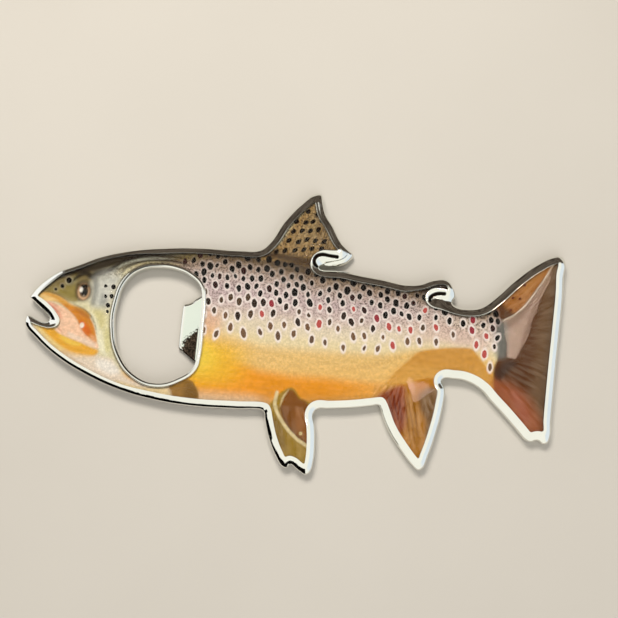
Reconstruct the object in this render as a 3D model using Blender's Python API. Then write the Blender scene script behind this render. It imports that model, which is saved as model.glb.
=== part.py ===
"""Trout-shaped souvenir bottle opener: a chromed casting, a printed film and a clear resin dome.

The casting lies with its flat back on z = 0 and its face towards +Z. The head points to -X and the
back fin to +Y. Lengths in the tables and constants below are in millimetres.
"""

import bmesh
import bpy
import numpy as np
from mathutils.geometry import delaunay_2d_cdt, interpolate_bezier

MM = 0.001

# Driving dimensions.
CASTING_HEIGHT = 4.0  # back face to the crest of the rim
POCKET_FLOOR = 3.0  # height of the floor that the film lies on
RIM_WIDTH = 2.1
SNOUT_RIM_WIDTH = 1.9
HEAD_RIM_WIDTH = 1.25  # over the eye and the gill cover
NAPE_RIM_WIDTH = 1.8
TRAILING_RIM_WIDTH = 2.3  # along the tail's edge
BELLY_RIM_WIDTH = 1.9
ADIPOSE_RIM_WIDTH = 1.5  # round the small fin before the tail
JAW_RIM_WIDTH = 1.5
MOUTH_RIM_WIDTH = 1.3
RING_WIDTH = 1.05  # thin rim round the cap opening
GLUE_LINE = 0.05
SIDE_GAP = 0.15  # film and resin to the wall of the pocket
FILM_THICKNESS = 0.15
RESIN_EDGE = 3.75  # height of the resin where it meets the wall
RESIN_CROWN = 4.6  # height of the resin in the widest part of the body
RESIN_SHOULDER = 1.6  # distance over which the resin rises towards its crown
LIP_BASE = 0.4
LIP_TOP = 2.2

# How finely the curved outlines are drawn.
FINE_STEP = 0.2
TOLERANCE = 0.02  # how far a straight stretch may leave the true curve
FOLD_TEST = 0.998  # share of its width that a point of an inset loop keeps from every side
RESIN_RINGS = (0.5, 1.3, 2.6, 4.5, 8.0)  # depths at which the dome has a ring of points
NET_SPACING = 1.2  # between the dome's points near a wall
NET_GROWTH = 0.9  # spacing further in, as a share of the depth
NET_CLEARANCE = 0.5  # share of the spacing that two points keep from each other
EDGE_CLEARANCE = 0.4  # that a point of the dome keeps from its edge
ROUGH_SKIP = 3  # of the edge's points, only every third is used to measure depths
CUTTER_RISE = 1.0  # how far the pocket's cutter stands above the casting
WELD_REACH = 0.001
SMOOTH_ANGLE = 30  # degrees
CORNER_STEPS = 5

# The outline, clockwise from the upper snout as seen from the face. Each knot is x, y; "c" marks a
# corner, and the outline runs smoothly through the other knots.
SNOUT = ((-69.6, 2.3, "c"), (-68.6, 4.3), (-66.2, 7.1))
HEAD_TOP = ((-62.5, 9.8), (-57.5, 12.2), (-52.5, 14.6), (-45.0, 16.9))
NAPE = ((-36.0, 18.6), (-26.0, 19.5), (-15.5, 19.7))
DORSAL_FIN = ((-10.4, 20.4), (-8.3, 22.4), (-4.7, 28.8), (0.1, 34.6), (3.1, 37.0), (4.3, 37.0),
              (4.9, 35.0), (5.9, 31.6), (8.1, 28.4), (10.9, 23.9), (13.0, 22.1), (14.2, 21.3))
DORSAL_NOTCH = ((13.4, 19.6), (11.2, 18.0), (8.0, 17.5), (5.9, 17.5), (5.3, 16.9), (5.9, 16.3),
                (8.0, 16.3))
REAR_BACK = ((11.2, 16.4), (16.8, 15.7), (22.7, 15.1), (28.5, 14.3))
ADIPOSE_FIN = ((32.2, 14.6), (36.0, 16.1), (39.4, 16.2), (41.1, 14.0), (41.7, 11.9))
ADIPOSE_NOTCH = ((41.0, 10.8), (41.4, 9.9))
TAIL_TOP = ((42.8, 9.3), (45.6, 9.2), (48.6, 9.9), (52.1, 12.7), (57.2, 18.0), (62.6, 22.6),
            (67.0, 25.1), (69.0, 25.4), (70.0, 24.2))
TRAILING_EDGE = ((69.9, 20.0), (69.9, 15.0), (69.4, 5.0), (68.8, -6.0), (68.3, -18.0),
                 (68.1, -22.8), (67.6, -24.0), (66.2, -24.2), (65.4, -23.5), (64.5, -23.5))
TAIL_BOTTOM = ((63.2, -24.0), (62.0, -23.6), (60.2, -21.9), (56.3, -17.9), (52.2, -14.0),
               (50.0, -11.8), (46.3, -9.9), (42.6, -9.5))
ANAL_FIN = ((39.6, -10.1), (40.5, -12.4), (40.3, -16.6), (39.0, -23.7), (37.2, -30.2),
            (36.1, -33.1), (35.1, -33.7), (34.0, -33.0), (29.9, -28.5), (26.5, -23.8),
            (24.6, -19.8), (23.7, -17.9, "c"))
BELLY = ((22.4, -18.2), (16.5, -19.3), (10.6, -20.0))
PELVIC_FIN = ((8.0, -20.4), (7.2, -21.6), (7.8, -24.6), (8.3, -29.5), (8.2, -34.2), (7.6, -36.5),
              (6.5, -37.3), (5.2, -36.7), (2.4, -34.9, "c"), (1.5, -36.0), (0.4, -35.7),
              (-1.1, -33.9), (-3.6, -29.2), (-5.1, -24.6), (-5.8, -22.0, "c"))
LOWER_BODY = ((-11.8, -22.1), (-24.8, -22.4), (-35.4, -21.5))
JAW = ((-43.7, -19.8), (-52.5, -16.7), (-60.6, -12.6), (-66.9, -7.9), (-69.6, -5.2), (-70.0, -3.1),
       (-69.6, -2.3, "c"))
MOUTH = ((-67.8, -3.1), (-65.6, -4.0), (-64.1, -3.9), (-63.7, -3.1), (-64.3, -2.0), (-66.2, -0.4),
         (-68.5, 1.5))

# Where the rim folds round a notch or the mouth it is wider than elsewhere. The pocket keeps its
# distance from these deeper notches in place of the real ones.
DORSAL_FOLD = ((13.0, 20.6), (10.8, 19.6), (8.0, 19.3), (6.2, 19.1), (5.2, 18.0), (5.7, 16.8),
               (7.4, 16.4))
ADIPOSE_FOLD = ((40.7, 11.1), (39.1, 11.5), (37.4, 11.7), (36.4, 11.6), (35.9, 11.1), (36.5, 10.6),
                (37.9, 10.4), (39.6, 10.0))
MOUTH_FOLD = ((-67.8, -3.1), (-65.4, -3.8), (-62.9, -4.1), (-62.0, -3.6), (-62.4, -2.8),
              (-65.6, 0.2), (-68.5, 1.8))

OUTLINE = (
    (SNOUT, SNOUT_RIM_WIDTH), (HEAD_TOP, HEAD_RIM_WIDTH), (NAPE, NAPE_RIM_WIDTH),
    (DORSAL_FIN, RIM_WIDTH), (DORSAL_NOTCH, RIM_WIDTH), (REAR_BACK, RIM_WIDTH),
    (ADIPOSE_FIN, ADIPOSE_RIM_WIDTH), (ADIPOSE_NOTCH, RIM_WIDTH), (TAIL_TOP, RIM_WIDTH),
    (TRAILING_EDGE, TRAILING_RIM_WIDTH), (TAIL_BOTTOM, RIM_WIDTH), (ANAL_FIN, RIM_WIDTH),
    (BELLY, BELLY_RIM_WIDTH), (PELVIC_FIN, RIM_WIDTH), (LOWER_BODY, BELLY_RIM_WIDTH),
    (JAW, JAW_RIM_WIDTH), (MOUTH, MOUTH_RIM_WIDTH),
)  # fmt: skip
FOLDS = {DORSAL_NOTCH: DORSAL_FOLD, ADIPOSE_NOTCH: ADIPOSE_FOLD, MOUTH: MOUTH_FOLD}

# The opening for a crown cap, clockwise from its top.
OPENING = ((-36.4, 13.0), (-32.0, 12.8), (-27.8, 11.2), (-25.2, 8.8), (-24.4, 5.4), (-24.2, -2.0),
           (-24.2, -9.0), (-24.9, -12.6), (-28.2, -15.5), (-33.8, -17.4), (-39.4, -15.9),
           (-44.0, -11.2), (-46.4, -4.2), (-46.4, 2.9), (-44.6, 8.8), (-41.0, 12.0))

# The prising lip, a tab that stands out of the tail side of the opening.
LIP_TIP_X = -29.5
LIP_TIP_Y = (-8.0, 4.2)
LIP_ROOT_X = -24.3
LIP_ROOT_Y = (-10.9, 7.0)
LIP_CORNER = 0.7
LIP_FILLET = ((-27.4, 4.7), (-26.1, 5.8))  # knots of the hollow curve at its upper root
LIP_BURIED = 0.8  # how far the root runs into the wall


def clear_scene():
    for obj in list(bpy.data.objects):
        bpy.data.objects.remove(obj, do_unlink=True)


def new_collection(name):
    collection = bpy.data.collections.new(name)
    bpy.context.scene.collection.children.link(collection)
    return collection


def smooth_loop(stretches):
    """Rows of x, y and rim width at even steps along the closed curve through the knots."""
    knots = [(knot, width) for stretch, width in stretches for knot in stretch]
    curve = bpy.data.curves.new("guide", "CURVE")
    spline = curve.splines.new("BEZIER")
    spline.bezier_points.add(len(knots) - 1)
    for point, (knot, width) in zip(spline.bezier_points, knots):
        handle = "VECTOR" if "c" in knot else "AUTO"
        point.co = (knot[0], knot[1], 0)
        point.handle_left_type = handle
        point.handle_right_type = handle
        point.radius = width
    spline.use_cyclic_u = True
    guide = bpy.data.objects.new("guide", curve)
    bpy.context.scene.collection.objects.link(guide)
    bpy.context.view_layer.update()
    ends = list(spline.bezier_points)
    rows = []
    for start, end in zip(ends, ends[1:] + ends[:1]):
        steps = max(2, round((end.co - start.co).length / FINE_STEP))
        places = interpolate_bezier(start.co, start.handle_right, end.handle_left, end.co, steps + 1)
        for step, (x, y, _) in enumerate(places[:-1]):
            rows.append((x, y, start.radius + (end.radius - start.radius) * step / steps))
    bpy.data.objects.remove(guide)
    return np.array(rows)


def distance(points, loops):
    """Distance from each point to the nearest side of any of the loops."""
    nearest = np.full(len(points), np.inf)
    for loop in loops:
        for start, along in zip(loop, np.roll(loop, -1, axis=0) - loop):
            place = np.clip((points - start) @ along / (along @ along), 0, 1)
            apart = np.linalg.norm(points - start - place[:, None] * along, axis=1)
            nearest = np.minimum(nearest, apart)
    return nearest


def with_width(loop, width):
    """Rows of x, y and one width at even steps round the loop."""
    closed = np.vstack([loop, loop[:1]])
    run = np.concatenate([[0], np.cumsum(np.linalg.norm(np.diff(closed, axis=0), axis=1))])
    step = min(FINE_STEP, width / 3)
    places = np.linspace(0, run[-1], round(run[-1] / step), endpoint=False)
    x, y = (np.interp(places, run, closed[:, k]) for k in (0, 1))
    return np.column_stack([x, y, np.full(len(x), width)])


def inset(rows, side=1):
    """The loop moved in by each row's width, without what would fold over itself.

    A side of -1 moves it out, as for the ring round a hole.
    """
    loop, width = rows[:, :2], rows[:, 2]
    along = np.roll(loop, -1, axis=0) - np.roll(loop, 1, axis=0)
    along /= np.linalg.norm(along, axis=1)[:, None]
    inward = np.stack([along[:, 1], -along[:, 0]], axis=1)
    moved = loop + side * inward * width[:, None]
    apart = np.linalg.norm(moved[:, None] - loop[None], axis=2)
    return moved[(apart >= width * FOLD_TEST).all(axis=1)]


def simplified(loop):
    """The loop with only the points it needs to stay within TOLERANCE."""
    keep = np.zeros(len(loop), bool)
    far = int(np.argmax(np.linalg.norm(loop - loop[0], axis=1)))
    keep[[0, far]] = True
    closed = np.vstack([loop, loop[:1]])
    spans = [(0, far), (far, len(loop))]
    while spans:
        first, last = spans.pop()
        if last - first < 2:
            continue
        chord = closed[last] - closed[first]
        between = closed[first + 1 : last] - closed[first]
        away = np.abs(between @ (chord[1], -chord[0])) / np.linalg.norm(chord)
        middle = first + 1 + int(np.argmax(away))
        if away.max() > TOLERANCE:
            keep[middle] = True
            spans += [(first, middle), (middle, last)]
    return loop[keep]


def inside(points, loops):
    """Whether each point is inside an odd number of the loops."""
    crossed = np.zeros(len(points), int)
    x, y = points.T
    for loop in loops:
        for (ax, ay), (bx, by) in zip(loop, np.roll(loop, -1, axis=0)):
            level = (ay > y) != (by > y)
            if level.any():
                crossed[level] += x[level] < ax + (y[level] - ay) * (bx - ax) / (by - ay)
    return crossed % 2 == 1


def weld(mesh):
    shape = bmesh.new()
    shape.from_mesh(mesh)
    bmesh.ops.remove_doubles(shape, verts=shape.verts, dist=WELD_REACH * MM)
    bmesh.ops.recalc_face_normals(shape, faces=shape.faces)
    shape.to_mesh(mesh)
    shape.free()


def flat_solid(name, loops, low, high, collection):
    """A flat outline, with further loops as its holes, extruded from one height to another."""
    curve = bpy.data.curves.new(name, "CURVE")
    curve.dimensions = "2D"
    curve.fill_mode = "BOTH"
    curve.extrude = (high - low) / 2 * MM
    for loop in loops:
        spline = curve.splines.new("POLY")
        spline.points.add(len(loop) - 1)
        for point, (x, y) in zip(spline.points, loop):
            point.co = (x * MM, y * MM, 0, 1)
        spline.use_cyclic_u = True
    flat = bpy.data.objects.new(name, curve)
    flat.location.z = (low + high) / 2 * MM
    collection.objects.link(flat)
    bpy.context.view_layer.update()
    evaluated = flat.evaluated_get(bpy.context.evaluated_depsgraph_get())
    mesh = bpy.data.meshes.new_from_object(evaluated)
    place = flat.matrix_world.copy()
    bpy.data.objects.remove(flat)
    weld(mesh)
    solid = bpy.data.objects.new(name, mesh)
    solid.matrix_world = place
    collection.objects.link(solid)
    return solid


def boolean(obj, other, operation):
    modifier = obj.modifiers.new(other.name, "BOOLEAN")
    modifier.object = other
    modifier.operation = operation
    modifier.solver = "EXACT"
    other.hide_render = True
    other.display_type = "WIRE"


def triangles_in(points, loops):
    """Triangles over the points that fill the outer loop round its holes."""
    edges = []
    first = 0
    for loop in loops:
        order = list(range(first, first + len(loop)))
        edges += zip(order, order[1:] + order[:1])
        first += len(loop)
    made = delaunay_2d_cdt(points.tolist(), edges, [], 0, 1e-5)
    triangles = np.array(made[2])
    return triangles[inside(points[triangles].mean(axis=1), loops)].tolist()


def dome_points(loops):
    """Rings of points inside the loops, wider apart the further they are from a wall."""
    found = []
    for depth in RESIN_RINGS:
        for loop, side in zip(loops, (1, -1)):
            ring = inset(with_width(loop, depth), side)
            found.append(ring[:: round(max(NET_SPACING, depth * NET_GROWTH) / FINE_STEP)])
    points = np.vstack(found)
    depths = distance(points, [loop[::ROUGH_SKIP] for loop in loops])
    kept = []
    for point, depth in zip(points, depths):
        room = NET_CLEARANCE * max(NET_SPACING, depth)
        if depth > EDGE_CLEARANCE and all(np.hypot(*(point - other)) > room for other in kept):
            kept.append(point)
    kept = np.array(kept)
    return kept[inside(kept, loops)]


def domed_solid(name, fine_loops, base, collection):
    """The resin: flat underneath, upright at its edge and domed on top."""
    loops = [simplified(loop) for loop in fine_loops]
    border = np.vstack(loops)
    points = np.vstack([border, dome_points(fine_loops)])
    rise = 1 - np.exp(-distance(points, loops) / RESIN_SHOULDER)
    heights = RESIN_EDGE + (RESIN_CROWN - RESIN_EDGE) * rise
    shape = bmesh.new()
    top = [shape.verts.new((x * MM, y * MM, z * MM)) for (x, y), z in zip(points, heights)]
    bottom = [shape.verts.new((x * MM, y * MM, base * MM)) for x, y in border]
    for triangle in triangles_in(points, loops):
        shape.faces.new([top[k] for k in triangle])
    for triangle in triangles_in(border, loops):
        shape.faces.new([bottom[k] for k in reversed(triangle)])
    first = 0
    for loop in loops:
        for k in range(len(loop)):
            a, b = first + k, first + (k + 1) % len(loop)
            shape.faces.new((top[a], top[b], bottom[b], bottom[a]))
        first += len(loop)
    bmesh.ops.recalc_face_normals(shape, faces=shape.faces)
    mesh = bpy.data.meshes.new(name)
    shape.to_mesh(mesh)
    shape.free()
    solid = bpy.data.objects.new(name, mesh)
    collection.objects.link(solid)
    return solid


def lip_outline():
    """The tab seen from the face: round corners at its tip, and its root inside the wall."""
    low, high = LIP_TIP_Y
    turn = np.radians(np.linspace(0, 90, CORNER_STEPS))
    near, far = LIP_CORNER * (1 - np.sin(turn)), LIP_CORNER * (1 - np.cos(turn))
    lower = np.column_stack([LIP_TIP_X + near, low + far])
    upper = np.column_stack([LIP_TIP_X + far, high - near])
    buried = LIP_ROOT_X + LIP_BURIED
    root_low, root_high = LIP_ROOT_Y
    start = [(buried, root_high), (buried, root_low), (LIP_ROOT_X, root_low)]
    return np.vstack([start, lower, upper, LIP_FILLET, [(LIP_ROOT_X, root_high)]])


def material(name, color, metallic, roughness, alpha=1.0):
    made = bpy.data.materials.new(name)
    made.use_nodes = True
    shader = made.node_tree.nodes["Principled BSDF"]
    shader.inputs["Base Color"].default_value = (*color, 1)
    shader.inputs["Metallic"].default_value = metallic
    shader.inputs["Roughness"].default_value = roughness
    shader.inputs["Alpha"].default_value = alpha
    return made


def finish(obj, surface):
    obj.data.materials.clear()
    obj.data.materials.append(surface)
    obj.data.shade_smooth()
    obj.data.set_sharp_from_angle(angle=np.radians(SMOOTH_ANGLE))


def centre(objects, loop):
    """Moves the objects so that the middle of the loop's bounding box is on the origin."""
    x, y = (loop.min(axis=0) + loop.max(axis=0)) / 2
    for obj in objects:
        obj.location.x -= x * MM
        obj.location.y -= y * MM


def main():
    clear_scene()
    parts = new_collection("trout_bottle_opener")
    cutters = new_collection("cutters")

    outline = smooth_loop(OUTLINE)
    guide = smooth_loop([(FOLDS.get(stretch, stretch), width) for stretch, width in OUTLINE])
    opening = smooth_loop([(OPENING, RING_WIDTH)])
    outer = [simplified(outline[:, :2]), simplified(opening[:, :2])]
    pocket = [inset(guide), inset(opening, -1)]
    laid = [inset(with_width(loop, SIDE_GAP), side) for loop, side in zip(pocket, (1, -1))]

    casting = flat_solid("cast_body", outer, 0, CASTING_HEIGHT, parts)
    pocket_loops = [simplified(loop) for loop in pocket]
    cutter_top = CASTING_HEIGHT + CUTTER_RISE
    hollow = flat_solid("pocket_cutter", pocket_loops, POCKET_FLOOR, cutter_top, cutters)
    lip = flat_solid("lip_shape", [lip_outline()], LIP_BASE, LIP_TOP, cutters)
    boolean(casting, hollow, "DIFFERENCE")
    boolean(casting, lip, "UNION")

    film_base = POCKET_FLOOR + GLUE_LINE
    film_top = film_base + FILM_THICKNESS
    film_loops = [simplified(loop) for loop in laid]
    film = flat_solid("artwork_film", film_loops, film_base, film_top, parts)
    resin = domed_solid("resin_dome", laid, film_top + GLUE_LINE, parts)
    centre([casting, hollow, lip, film, resin], outer[0])

    finish(casting, material("chrome_plate", (0.82, 0.83, 0.84), 1.0, 0.08))
    finish(film, material("printed_film", (0.62, 0.45, 0.24), 0.0, 0.5))
    finish(resin, material("clear_resin", (0.95, 0.95, 0.93), 0.0, 0.03, 0.35))


main()
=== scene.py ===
"""Looks of the trout-shaped bottle opener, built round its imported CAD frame.

The casting, the printed film and the resin are rebuilt as fine meshes from the outlines of the CAD
nodes. Lengths are in millimetres until a mesh is made. The picture side faces +Z, the head is at -X.
"""

import math

import bmesh
import bpy
import numpy as np
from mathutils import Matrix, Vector, kdtree
from mathutils.geometry import delaunay_2d_cdt


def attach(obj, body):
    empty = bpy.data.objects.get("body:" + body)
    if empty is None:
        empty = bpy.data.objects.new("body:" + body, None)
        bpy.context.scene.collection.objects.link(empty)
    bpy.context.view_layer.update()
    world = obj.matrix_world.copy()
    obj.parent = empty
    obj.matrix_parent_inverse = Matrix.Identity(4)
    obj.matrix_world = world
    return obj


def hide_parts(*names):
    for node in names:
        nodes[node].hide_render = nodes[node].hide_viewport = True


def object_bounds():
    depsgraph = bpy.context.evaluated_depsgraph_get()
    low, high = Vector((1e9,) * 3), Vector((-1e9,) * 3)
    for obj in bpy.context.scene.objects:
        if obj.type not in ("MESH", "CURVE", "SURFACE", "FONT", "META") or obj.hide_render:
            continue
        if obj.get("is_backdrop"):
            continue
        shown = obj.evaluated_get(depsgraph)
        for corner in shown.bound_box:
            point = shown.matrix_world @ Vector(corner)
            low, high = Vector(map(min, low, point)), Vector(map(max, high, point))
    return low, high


MM = 0.001

# Heights of the casting's flat faces that the outlines are read from.
BACK_Z = 0.0
FLOOR_Z = 3.0
LIP_Z = 2.2

# Casting.
CREST_Z = 4.0
STEP = 0.2  # between points along an outline
ROUNDING = 0.3  # reach of the smoothing that takes the facets off an outline
# Slopes in degrees across a rim, from its foot at 0 to its other side at 1.
RIM_SLOPES = ((0.0, 74), (0.07, 52), (0.11, 40), (0.55, 34), (0.62, 12), (0.94, 6), (1.0, 0))
RING_SLOPES = ((0.0, 66), (0.12, 44), (0.26, 16), (0.5, 0), (0.74, -16), (0.88, -44), (1.0, -66))
GROOVE_DEPTH = 0.15
# Grooves where the rim is folded round the two notches in the back, darkened with painted shade: width,
# then places.
GROOVES = (
    (0.95, (9.8, 20.0), (7.9, 20.1), (5.8, 20.3), (4.5, 19.8), (3.9, 18.8), (4.0, 17.8), (4.6, 17.1)),
    (0.55, (7.0, 18.2), (8.8, 18.6), (10.6, 19.1), (11.9, 19.9), (12.7, 20.9)),
    (0.9, (38.6, 12.6), (36.9, 12.5), (35.7, 12.0), (34.9, 11.2), (34.9, 10.5)),
)
RING_SHADE_LINE = 0.4  # distance of the painted dark line on the ring from the opening
# Distances from an edge at which its parallels have points.
RING_DEPTHS = (0.06, 0.15, 0.24, 0.32, 0.4, 0.48, 0.58)
RIM_DEPTHS = (0.07, 0.16, 0.28, 0.45, 0.65, 0.88, 1.12)
WALL_DEPTHS = (0.06, 0.14, 0.25, 0.4, 0.6, 0.85)
BACK_ROUND = ((0.0, 0.35), (0.03, 0.2), (0.11, 0.09), (0.22, 0.02), (0.35, 0.0))  # depth, height
RIM_SPACING = 0.28  # between the points on the broad part of a rim
GROOVE_SPACING = 0.13
BACK_SPACING = 4.0  # on the flat back
LIP_BOTTOM_Z = 0.4
LIP_BEVEL = 0.5  # width of the rounding along the lip's free edges
LIP_BEVEL_DROP = 0.3
LIP_BEVEL_RISE = 0.25
LIP_LENGTH = 5.2
LIP_TIP_DROP = 0.8
LIP_LEAN = LIP_TIP_DROP / LIP_LENGTH  # rise for each millimetre towards +X
LIP_ROOT = 0.15  # reach of the lip's points that lie on the opening's wall
LIP_SINK = 0.6  # how far those points are pushed into the wall

# Film and resin.
FILM_Z = 3.05
FILM_TOP_Z = 3.2
RESIN_BASE_Z = 3.25
FILM_STEP = 0.3
SIDE_GAP = 0.04  # from the film and the resin to the pocket's walls
RESIN_EDGE_Z = 3.84
RESIN_CROWN_Z = 4.59
RESIN_REACH = 1.5  # distance over which surface tension pulls the resin down to its edge
RESIN_DEPTHS = (0.08, 0.18, 0.32, 0.5, 0.75, 1.05, 1.45)
RESIN_STEP = 0.62
RESIN_ROUNDS = 900  # of evening out the resin's height

# Camera.
CAMERA_AIM = (3.6, 5.74, 2.0)
CAMERA_PLACE = (7.61, -40.19, 263.48)
CAMERA_ANGLE = 34

# Studio.
SOFT_STRENGTH = 0.46  # of the sky on matt surfaces
SHINY_STRENGTH = 1.12  # of the sky in reflections
CARD_Z = 600.0  # height of the level cards over the floor
FLOOR_REACH = 3000
FLOOR_DROP = 0.05  # from the casting's back to the floor
# The dark card that the rim along the belly mirrors: x and height.
FLAG_OUTLINE = ((-130, 1), (8, 1), (8, 9), (-3, 9), (-9, 12.5), (-30, 13), (-46, 15), (-52, 24),
                (-72, 40), (-130, 40))
# Places on the lip, the tail and the rear fin that mirror a bright card towards the camera.
LIP_SEEN = ((-33, 9), (-21, 9), (-21, -16), (-33, -16))
TAIL_SEEN = ((54.2, 6.4), (57.1, 8.7), (59.2, 10.8), (61.1, 13.4), (62.8, 16.2), (64.6, 19.2),
             (66.4, 22.4), (65.7, 19.2), (64.8, 15.9), (63.7, 13.2), (63, 10.4), (61.9, 7.1), (61.2, 3.9),
             (60.3, 0.9), (59.2, -1.3), (57.9, -2.9), (55.8, -3.3), (55.6, 0.8))
FIN_SEEN = ((30.5, -11.9), (32.8, -10.9), (35.1, -11.2), (37.6, -12.8), (35.6, -14), (34.1, -15.7),
            (32.9, -16.3), (31.7, -13.8))


# ---------------------------------------------------------------- outlines


def soft(value, low, high):
    """A smooth step from 0 at low to 1 at high, either of which may be the larger."""
    share = np.clip((value - low) / (high - low), 0, 1)
    return share * share * (3 - 2 * share)


def corners_of(obj):
    return np.array([v.co for v in obj.data.vertices]) / MM


def plane_loops(node, height):
    """The closed outlines of a CAD node's flat faces at one height, longest first."""
    places, index = np.unique(np.round(corners_of(node), 3), axis=0, return_inverse=True)
    index = index.reshape(-1)
    sides = set()
    for polygon in node.data.polygons:
        corners = [int(index[k]) for k in polygon.vertices]
        if np.abs(places[corners, 2] - height).max() < 0.01:
            sides |= set(zip(corners, corners[1:] + corners[:1]))
    after = {a: b for a, b in sides if (b, a) not in sides}
    loops = []
    while after:
        start = next(iter(after))
        loop = [start]
        while loop[-1] in after:
            loop.append(after.pop(loop[-1]))
        loops.append(places[loop[:-1], :2])
    return sorted(loops, key=lambda loop: -np.ptp(loop[:, 0]))


def curve_through(knots, closed=True, step=0.5):
    """Points at about the given step along a smooth curve through the knots."""
    p = np.array(knots, float)
    if closed:
        p = np.vstack([p[-1:], p, p[:2]])
    else:
        p = np.vstack([2 * p[:1] - p[1:2], p, 2 * p[-1:] - p[-2:-1]])
    gaps = np.linalg.norm(np.diff(p, axis=0), axis=1)
    spans = np.sqrt(gaps)[:, None]
    rates = np.diff(p, axis=0) / spans
    middle = (p[2:] - p[:-2]) / (spans[1:] + spans[:-1])
    tangents = rates[:-1] - middle + rates[1:]
    rows = []
    for k in range(len(tangents) - 1):
        s = np.arange(0, 1, 1 / max(1, round(gaps[k + 1] / step)))[:, None]
        a, b, span = p[k + 1], p[k + 2], spans[k + 1]
        cubic = 2 * s**3 - 3 * s**2
        rise = (s**3 - 2 * s**2 + s) * tangents[k] * span + (s**3 - s**2) * tangents[k + 1] * span
        rows.append((1 + cubic) * a - cubic * b + rise)
    if not closed:
        rows.append(p[-2:-1])
    return np.vstack(rows)


def even(loop, step):
    """The closed loop with its points at even steps."""
    closed = np.vstack([loop, loop[:1]])
    run = np.concatenate([[0], np.cumsum(np.linalg.norm(np.diff(closed, axis=0), axis=1))])
    places = np.linspace(0, run[-1], round(run[-1] / step), endpoint=False)
    return np.column_stack([np.interp(places, run, closed[:, k]) for k in (0, 1)])


def smoothed(loop, step=STEP, reach=ROUNDING):
    """The loop as a smooth curve, clockwise, with its points at even steps."""
    fine = even(curve_through(loop, step=step / 2), step)
    waves = np.fft.fftfreq(len(fine), step) * 2 * math.pi
    share = np.exp(-((waves * reach) ** 2) / 2)
    fine = np.fft.ifft(np.fft.fft(fine[:, 0] + 1j * fine[:, 1]) * share)
    loop = np.column_stack([fine.real, fine.imag])
    x, y = loop.T
    turn = (x * np.roll(y, -1) - y * np.roll(x, -1)).sum()
    return loop[::-1] if turn > 0 else loop


def inward(loop):
    """Unit directions at right angles to a clockwise loop, pointing into it."""
    along = np.roll(loop, -1, axis=0) - np.roll(loop, 1, axis=0)
    along /= np.linalg.norm(along, axis=1)[:, None]
    return np.stack([along[:, 1], -along[:, 0]], axis=1)


def distance(points, line, closed=True):
    """Distance from each point to a line of closely spaced points."""
    tree = kdtree.KDTree(len(line))
    for k, (x, y) in enumerate(line):
        tree.insert((x, y, 0), k)
    tree.balance()
    near = np.array([tree.find((x, y, 0))[1] for x, y in points])
    best = np.full(len(points), np.inf)
    for first in (near - 1, near):
        if not closed:
            first = np.clip(first, 0, len(line) - 2)
        a = line[first % len(line)]
        along = line[(first + 1) % len(line)] - a
        share = ((points - a) * along).sum(axis=1) / np.maximum((along**2).sum(axis=1), 1e-12)
        foot = a + np.clip(share, 0, 1)[:, None] * along
        best = np.minimum(best, np.linalg.norm(points - foot, axis=1))
    return best


def inside(points, loop):
    """Whether each point is inside the closed loop."""
    x, y = points.T
    crossed = np.zeros(len(points), int)
    for (ax, ay), (bx, by) in zip(loop, np.roll(loop, -1, axis=0)):
        level = np.nonzero((ay > y) != (by > y))[0]
        crossed[level] += x[level] < ax + (y[level] - ay) * (bx - ax) / (by - ay)
    return crossed % 2 == 1


def rings(loop, side, depths, others=()):
    """Points on parallels of the loop, left out where another side of it is nearer."""
    found = []
    for depth in depths:
        moved = loop + side * depth * inward(loop)
        keep = distance(moved, loop) > depth * 0.985
        for other in others:
            keep &= distance(moved, other) > depth * 0.6
        found.append(moved[keep])
    return np.vstack(found)


def grid_points(loops, spacing, clearance):
    """A triangular grid inside the first loop and outside the others."""
    low, high = loops[0].min(axis=0), loops[0].max(axis=0)
    rows = np.arange(low[1], high[1], spacing * math.sqrt(3) / 2)
    points = []
    for k, y in enumerate(rows):
        x = np.arange(low[0] + (k % 2) * spacing / 2, high[0], spacing)
        points.append(np.column_stack([x, np.full(len(x), y)]))
    points = np.vstack(points)
    points = points[inside(points, loops[0])]
    for loop in loops[1:]:
        points = points[~inside(points, loop)]
    for loop in loops:
        points = points[distance(points, loop) > clearance]
    return points


def thinned(points, spacing):
    """The points, leaving out any that is nearer than the spacing to one before it."""
    cells = {}
    kept = []
    for k, (x, y) in enumerate(points):
        cell = (math.floor(x / spacing), math.floor(y / spacing))
        near = [cells.get((cell[0] + i, cell[1] + j), ()) for i in (-1, 0, 1) for j in (-1, 0, 1)]
        if all(math.hypot(x - a, y - b) >= spacing for group in near for a, b in group):
            cells.setdefault(cell, []).append((x, y))
            kept.append(k)
    return points[kept]


def triangulated(loops, points=()):
    """Every point, and the triangles over them that fill the first loop round the others."""
    everything = np.vstack([*loops, points]) if len(points) else np.vstack(loops)
    edges = []
    first = 0
    for loop in loops:
        order = list(range(first, first + len(loop)))
        edges += zip(order, order[1:] + order[:1])
        first += len(loop)
    made = delaunay_2d_cdt(everything.tolist(), edges, [], 1, 1e-6)
    if len(made[0]) != len(everything):
        raise ValueError(f"outlines cross: {len(made[0])} points from {len(everything)}")
    triangles = np.array(made[2])
    middles = everything[triangles].mean(axis=1)
    for loop in loops[1:]:
        triangles, middles = (part[~inside(middles, loop)] for part in (triangles, middles))
    a, b, c = (everything[triangles[:, k]] for k in (0, 1, 2))
    (ux, uy), (vx, vy) = (b - a).T, (c - a).T
    turned = ux * vy < uy * vx
    triangles[turned] = triangles[turned][:, ::-1]
    return everything, triangles


# ---------------------------------------------------------------- meshes


def add_object(name, data):
    obj = bpy.data.objects.new(name, data)
    bpy.context.scene.collection.objects.link(obj)
    return obj


def at(loop, height):
    return np.column_stack([loop, np.broadcast_to(height, len(loop))])


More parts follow.
